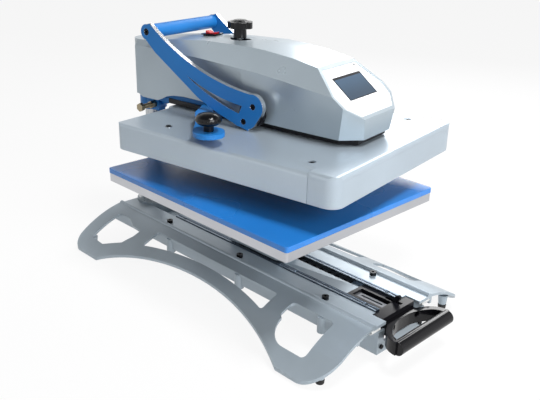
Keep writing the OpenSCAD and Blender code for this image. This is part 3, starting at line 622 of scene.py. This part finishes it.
class ThreadTree(ShapeTree):
    """A screw thread: one ridge that climbs round a rod from z = 0."""

    def __init__(self) -> None:
        """Builds the tree."""
        size = "NodeSocketFloat"
        super().__init__("screw_thread", {"Radius": size, "Pitch": size, "Length": size, "Ridge": size})
        radius = self.given["Radius"]
        path = self.graph.node("GeometryNodeCurveSpiral", None,
                               {"Resolution": 24, "Start Radius": radius, "End Radius": radius,
                                "Rotations": self.number("Length") / self.number("Pitch"),
                                "Height": self.given["Length"]})
        ridge = self.graph.node("GeometryNodeCurvePrimitiveCircle", {"mode": "RADIUS"},
                                {"Resolution": 6, "Radius": self.given["Ridge"]})
        swept = self.graph.node("GeometryNodeCurveToMesh", None,
                                {"Curve": path.outputs[0], "Profile Curve": ridge.outputs[0],
                                 "Fill Caps": True})
        self.end(swept.outputs[0])


class WasherTree(ShapeTree):
    """Flat washers with rounded rims, one standing on each point."""

    def __init__(self) -> None:
        """Builds the tree."""
        size = "NodeSocketFloat"
        super().__init__("washers", {"Hole": size, "Rim": size, "Thick": size, "Round": size})
        hole, rim = self.number("Hole"), self.number("Rim")
        path = self.graph.node("GeometryNodeCurvePrimitiveCircle", {"mode": "RADIUS"},
                               {"Resolution": 40, "Radius": (hole + rim) * 0.5})
        flat = self.graph.node("GeometryNodeCurvePrimitiveQuadrilateral", None,
                               {"Width": rim - hole, "Height": self.given["Thick"]})
        soft = self.graph.node("GeometryNodeFilletCurve", None,
                               {"Curve": flat.outputs[0], "Radius": self.given["Round"]})
        ring = self.graph.node("GeometryNodeCurveToMesh", None,
                               {"Curve": path.outputs[0], "Profile Curve": soft.outputs[0]})
        laid = self.graph.node("GeometryNodeInstanceOnPoints", None,
                               {"Points": self.given["Points"], "Instance": ring.outputs[0]})
        self.end(laid.outputs[0])


@dataclass
class Workbench:
    """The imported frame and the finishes, with the ways in which a piece is made from them."""

    frame: dict[str, Any]
    shop: Shop = field(default_factory=Shop)

    def body_of(self, node: str) -> str:
        """Gives the body that a CAD node belongs to."""
        return self.frame["nodes"][node]["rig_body"]

    def joint_axis(self, joint: str) -> Vector:
        """Gives the direction of a joint's axis."""
        row = next(row for row in self.frame["joints"] if row["name"] == joint)
        return Vector(row["axis"]).normalized()

    def dress(self, finish: str, *nodes: str) -> None:
        """Gives CAD nodes a finish and leaves their shape.

        Args:
            finish: Name of the material.
            nodes: The nodes.
        """
        for name in nodes:
            mesh = self.frame["nodes"][name].data
            mesh.materials.clear()
            mesh.materials.append(self.shop[finish])
            LOG.info("%s: %s", name, finish)

    def merged_copy(self, node: str) -> bmesh.types.BMesh:
        """Copies a CAD node's mesh with its doubles merged and its flat faces joined.

        Args:
            node: The node.

        Returns:
            The mesh, which the caller frees.
        """
        bm = bmesh.new()
        bm.from_mesh(self.frame["nodes"][node].data)
        bmesh.ops.remove_doubles(bm, verts=bm.verts, dist=MERGE_DISTANCE)
        bmesh.ops.dissolve_degenerate(bm, edges=bm.edges, dist=SLIVER_LENGTH)
        bmesh.ops.dissolve_limit(bm, angle_limit=math.radians(FLAT_ANGLE), verts=bm.verts,
                                 edges=bm.edges, delimit={"NORMAL"})
        return bm

    def solids_of(self, node: str) -> list[tuple[Vector, Vector]]:
        """Finds the separate solids of a CAD node.

        Args:
            node: The node.

        Returns:
            Lowest and highest corner of each solid.
        """
        bm = self.merged_copy(node)
        left = set(bm.verts)
        boxes = []
        while left:
            front = [left.pop()]
            found = list(front)
            while front:
                near = {edge.other_vert(v) for v in front for edge in v.link_edges} & left
                left -= near
                found.extend(near)
                front = list(near)
            spans = [[v.co[axis] for v in found] for axis in range(3)]
            boxes.append((Vector(min(span) for span in spans), Vector(max(span) for span in spans)))
        bm.free()
        return sorted(boxes, key=lambda box: tuple(box[0]))

    def piece(self, name: str, mesh: bpy.types.Mesh, finishes: Iterable[str],
              node: str) -> bpy.types.Object:
        """Makes an object that rides on a CAD node's body.

        Args:
            name: The object's name.
            mesh: Its mesh.
            finishes: Its materials, in the order of the mesh's material numbers.
            node: The CAD node it goes with.

        Returns:
            The object.
        """
        mesh.materials.clear()
        for finish in finishes:
            mesh.materials.append(self.shop[finish])
        made = bpy.data.objects.new(name, mesh)
        bpy.context.scene.collection.objects.link(made)
        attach(made, self.body_of(node))
        LOG.info("%s: %s", name, ", ".join(finishes))
        return made

    def soften(self, node: str, finish: str, radius: float, segments: int = 2,
               corner: float = 28.0) -> bpy.types.Object:
        """Replaces a CAD node by a copy with rounded edges.

        Args:
            node: The node.
            finish: Name of the material.
            radius: Width of the rounding, in metres.
            segments: Steps across the rounding.
            corner: Least angle of an edge that is rounded, in degrees.

        Returns:
            The new piece.
        """
        bm = self.merged_copy(node)
        mesh = bpy.data.meshes.new(node + "_rounded")
        bm.to_mesh(mesh)
        bm.free()
        mesh.shade_smooth()
        mesh.set_sharp_from_angle(angle=math.radians(corner))
        made = self.piece(node + "_rounded", mesh, [finish], node)
        bevel = made.modifiers.new("edges", "BEVEL")
        bevel.width = radius
        bevel.segments = segments
        bevel.limit_method = "ANGLE"
        bevel.angle_limit = math.radians(corner)
        bevel.use_clamp_overlap = True
        bevel.harden_normals = True
        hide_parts(node)
        return made


@dataclass
class BaseFrame:
    """The arched cast base, its rails and the post."""

    bench: Workbench
    cast_edge: float = 0.9 * MM
    rail_edge: float = 0.25 * MM

    def build(self) -> None:
        """Dresses every piece of the base."""
        b = self.bench
        b.soften("base_casting", "cast_frame_paint", self.cast_edge)
        b.soften("front_crossmember", "cast_frame_paint", self.cast_edge)
        for rail in ("left_rail", "right_rail"):
            b.soften(rail, "rail_steel", self.rail_edge, 1)
        b.soften("rubber_feet", "black_rubber", 0.6 * MM)
        b.dress("white_nylon", "handle_buffers")
        b.dress("black_steel", "bed_screws", "crossmember_screws")
        b.dress("turned_steel", "rail_screws", "post_bolts", "post_cap", "swing_post")


@dataclass
class DrawSlide:
    """The slide with the lower platen, its pad and the draw handle."""

    bench: Workbench
    plate_edge: float = 0.5 * MM
    pad_edge: float = 1.2 * MM
    handle_edge: float = 1.5 * MM

    def build(self) -> None:
        """Dresses every piece of the slide."""
        b = self.bench
        b.soften("carriage", "cast_frame_paint", 0.4 * MM, 1)
        b.soften("lower_platen", "plate_aluminium", self.plate_edge)
        b.soften("silicone_pad", "blue_silicone", self.pad_edge, 3)
        b.soften("draw_handle", "black_gloss", self.handle_edge, 3)
        b.soften("draw_frame", "black_satin", 0.8 * MM)
        b.soften("pedestal", "cast_frame_paint", 0.8 * MM)
        b.soften("platen_spider", "cast_frame_paint", 0.8 * MM)
        b.soften("lock_lever", "black_satin", 0.6 * MM)
        b.dress("white_nylon", "slide_shoes")
        b.dress("black_satin", "index_strip")
        b.dress("dull_steel", "lock_pin", "draw_bar")
        b.dress("black_steel", "handle_bolts")
        b.dress("turned_steel", "pedestal_bolts", "platen_screws")


@dataclass
class SwingArm:
    """The blue arm casting, the deck and the grey housing over it."""

    bench: Workbench
    housing_edge: float = 1.6 * MM
    post: tuple[float, float] = (0.0, 373.0 * MM)
    stop_place: tuple[float, float, float] = (-72.0 * MM, 335.0 * MM, 322.0 * MM)
    stop_radius: float = 5.0 * MM
    stop_length: float = 24.0 * MM
    stop_pitch: float = 1.5 * MM
    stop_ridge: float = 0.45 * MM

    def _stop_thread(self) -> None:
        """Winds the thread that shows between the stop screw's head and its nut."""
        turn = self.bench.joint_axis("lever_turn")
        swing = Matrix.Rotation(math.atan2(turn.y, turn.x), 4, "Z")
        post = Matrix.Translation((*self.post, 0.0))
        lying = Matrix.Translation(self.stop_place) @ Matrix.Rotation(math.radians(90), 4, "Y")
        mesh = ThreadTree().bake([], Radius=self.stop_radius, Pitch=self.stop_pitch,
                                 Length=self.stop_length, Ridge=self.stop_ridge)
        mesh.transform(post @ swing @ post.inverted() @ lying)
        self.bench.piece("stop_screw_thread", mesh, ["aged_brass"], "stop_screw")

    def build(self) -> None:
        """Dresses every piece that turns with the arm."""
        b = self.bench
        b.soften("swing_casting", "blue_enamel", 0.9 * MM)
        b.soften("swing_handle_knob", "black_gloss", 1.2 * MM, 3)
        # The black deck is a real dark chassis part, and its black also serves as painted shade in the gap
        # between the housing and the casing.
        b.soften("arm_deck", "black_satin", 0.7 * MM)
        housing = b.soften("arm_housing", "housing_paint", self.housing_edge, 3)
        housing.modifiers["edges"].harden_normals = False
        even = housing.modifiers.new("even_shading", "WEIGHTED_NORMAL")
        even.keep_sharp = True
        b.dress("turned_steel", "swing_handle_stud", "deck_screws")
        b.dress("aged_brass", "stop_screw", "spindle_nut")
        self._stop_thread()
        b.dress("bronze", "post_bushes", "guide_bushes")
        b.dress("cross_steel", "shaft_bearings")
        b.soften("control_panel", "panel_film", 0.5 * MM)
        b.soften("touch_screen", "screen_glass", 0.4 * MM)
        b.dress("screen_glass", "status_lens")
        b.dress("circuit_board", "control_board")
        b.soften("power_inlet", "black_gloss", 0.5 * MM)
        b.soften("switch_frame", "black_gloss", 0.5 * MM)
        b.soften("switch_rocker", "rocker_moulding", 0.5 * MM)


@dataclass
class PressLever:
    """The shaft, the two slotted plates and the grip."""

    bench: Workbench
    plate_edge: float = 1.1 * MM
    broad_side: float = 0.7

    def _bare_edges(self, plate: bpy.types.Object) -> None:
        """Leaves a plate's narrow sides and bevels without paint.

        Args:
            plate: The plate, whose broad faces look along the shaft.
        """
        plate.data.materials.append(self.bench.shop["bright_edge"])
        plate.modifiers["edges"].material = 1
        shaft = self.bench.joint_axis("lever_turn")
        for face in plate.data.polygons:
            face.material_index = 0 if abs(face.normal.dot(shaft)) > self.broad_side else 1

    def build(self) -> None:
        """Dresses every piece that turns with the lever."""
        b = self.bench
        for side in ("left", "right"):
            self._bare_edges(b.soften(f"{side}_lever_plate", "blue_enamel", self.plate_edge))
        b.soften("grip_tube", "blue_enamel", 1.0 * MM)
        b.dress("cross_steel", "lever_shaft", "cam_plates")
        b.dress("black_satin", "lever_hubs")
        b.dress("black_steel", "lever_bolts", "grip_bolts")


@dataclass
class HeatHead:
    """The heated platen, its casing and the bridge that the cams push."""

    bench: Workbench
    casing_edge: float = 3.0 * MM
    washer_hole: float = 4.7 * MM
    washer_rim: float = 7.3 * MM
    washer_thick: float = 1.2 * MM
    washer_round: float = 0.3 * MM
    head_height: float = 2.8 * MM

    def _washers(self) -> None:
        """Lays a bright washer round the head of each casing screw."""
        seats = []
        for low, high in self.bench.solids_of("casing_screws"):
            middle = (low + high) / 2
            seats.append(Vector((middle.x, middle.y, high.z - self.head_height + self.washer_thick / 2)))
        mesh = WasherTree().bake(seats, Hole=self.washer_hole, Rim=self.washer_rim,
                                 Thick=self.washer_thick, Round=self.washer_round)
        self.bench.piece("casing_screw_washers", mesh, ["turned_steel"], "casing_screws")

    def build(self) -> None:
        """Dresses every piece that comes down with the head."""
        b = self.bench
        b.soften("heater_casing", "casing_paint", self.casing_edge, 4)
        b.soften("heated_platen", "release_coating", 0.8 * MM)
        b.dress("black_steel", "casing_screws")
        self._washers()
        b.dress("turned_steel", "guide_rods", "press_bridge")


@dataclass
class PressureScrew:
    """The star knob in the housing's dish, and its spindle."""

    bench: Workbench

    def build(self) -> None:
        """Dresses the knob and the spindle."""
        self.bench.soften("pressure_knob", "black_gloss", 1.0 * MM, 3)
        self.bench.dress("turned_steel", "pressure_spindle")


@dataclass(frozen=True)
class Lamp:
    """One square lamp."""

    name: str
    place: tuple[float, float, float]
    target: tuple[float, float, float]
    size: float
    power: float

    def hang(self) -> None:
        """Hangs the lamp at its place, turned to its target."""
        data = bpy.data.lights.new(self.name, "AREA")
        data.size = self.size
        data.energy = self.power
        made = bpy.data.objects.new(self.name, data)
        aim = (Vector(self.target) - Vector(self.place)).to_track_quat("-Z", "Y")
        made.matrix_world = Matrix.Translation(self.place) @ aim.to_matrix().to_4x4()
        bpy.context.scene.collection.objects.link(made)


LAMPS = (
    Lamp("overhead", (0.0, -0.7, 2.1), (0.0, -0.1, 0.3), size=0.5, power=31.0),
    Lamp("front", (-0.5, -2.6, 1.3), (0.0, -0.1, 0.3), size=1.6, power=66.0),
    Lamp("right", (1.84, 0.7, 1.35), (0.0, -0.3, 0.1), size=1.1, power=24.0),
)


@dataclass
class Studio:
    """Camera, floor and soft light, which aren't part of the press."""

    eye: tuple[float, float, float] = (-0.9589, -0.9693, 0.7331)
    yaw: float = 45.027
    pitch: float = 21.967
    roll: float = 1.317
    lens: float = 48.4
    sensor: float = 36.0
    floor_half: float = 30.0
    floor_grey: float = 0.86
    floor_white: float = 0.9
    day: float = 0.36
    ceiling: float = 0.16
    wall_fade: tuple[float, float] = (0.45, 0.85)

    def build(self) -> None:
        """Sets up the whole studio."""
        self._camera()
        self._floor()
        self._world()
        for lamp in LAMPS:
            lamp.hang()

    def _camera(self) -> None:
        """Puts the camera where the photograph was taken from."""
        yaw, pitch, roll = (math.radians(a) for a in (self.yaw, self.pitch, self.roll))
        ahead = Vector((math.sin(yaw) * math.cos(pitch), math.cos(yaw) * math.cos(pitch), -math.sin(pitch)))
        level = Vector((math.cos(yaw), -math.sin(yaw), 0.0))
        upright = level.cross(ahead)
        right = level * math.cos(roll) + upright * math.sin(roll)
        up = upright * math.cos(roll) - level * math.sin(roll)
        data = bpy.data.cameras.new("camera")
        data.lens = self.lens
        data.sensor_width = self.sensor
        data.clip_start = 0.01
        data.clip_end = 100.0
        made = bpy.data.objects.new("camera", data)
        turned = Matrix((right, up, -ahead)).transposed().to_4x4()
        made.matrix_world = Matrix.Translation(Vector(self.eye)) @ turned
        bpy.context.scene.collection.objects.link(made)
        bpy.context.scene.camera = made
        bpy.context.scene.view_settings.view_transform = "Standard"

    def _seen(self, graph: Graph) -> Signal:
        """Gives 1 on rays that show the surroundings: camera, glossy and transmission rays.

        Args:
            graph: The tree of a stage material or of the world.

        Returns:
            The signal.
        """
        path = graph.node("ShaderNodeLightPath").outputs
        seen = Signal(graph, path["Is Camera Ray"]) + Signal(graph, path["Is Glossy Ray"])
        return seen + Signal(graph, path["Is Transmission Ray"])

    def _floor(self) -> None:
        """Lays a pale floor that keeps the press's shadow."""
        h = self.floor_half
        mesh = bpy.data.meshes.new("floor")
        mesh.from_pydata([(-h, -h, 0), (h, -h, 0), (h, h, 0), (-h, h, 0)], [], [(0, 1, 2, 3)])
        made = bpy.data.objects.new("floor", mesh)
        bpy.context.scene.collection.objects.link(made)
        material = bpy.data.materials.new("floor_paper")
        material.use_nodes = True
        graph = Graph(material.node_tree)
        grey = self.floor_grey
        matt = graph.node("ShaderNodeBsdfDiffuse", None, {0: (grey, grey, grey, 1.0)})
        white = graph.node("ShaderNodeEmission", None, {0: (1.0, 1.0, 1.0, 1.0), 1: 1.0})
        mixed = graph.node("ShaderNodeMixShader", None,
                           {0: self._seen(graph) * self.floor_white, 1: matt.outputs[0],
                            2: white.outputs[0]})
        graph.node("ShaderNodeOutputMaterial", None, {0: mixed.outputs[0]})
        mesh.materials.append(material)

    def _world(self) -> None:
        """Fills the room with plain light: white walls round the press, and a darker ceiling."""
        world = bpy.data.worlds.new("room")
        bpy.context.scene.world = world
        world.use_nodes = True
        graph = Graph(world.node_tree)
        way = graph.node("ShaderNodeTexCoord").outputs["Generated"]
        height = graph.signal("ShaderNodeSeparateXYZ", None, {0: way}, 2)
        walls = 1.0 - height.ramp(*self.wall_fade) * (1.0 - self.ceiling)
        strength = (self._seen(graph) * (1.0 - self.day) + self.day) * walls
        light = graph.node("ShaderNodeBackground", None, {0: (1.0, 1.0, 1.0, 1.0), 1: strength})
        graph.node("ShaderNodeOutputWorld", None, {0: light.outputs[0]})


def main() -> None:
    """Builds the press and the studio."""
    logging.basicConfig(level=logging.INFO, format="%(message)s")
    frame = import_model()
    Studio().build()
    bench = Workbench(frame)
    for assembly in (BaseFrame, DrawSlide, SwingArm, PressLever, HeatHead, PressureScrew):
        assembly(bench).build()


if __name__ == "__main__":
    main()
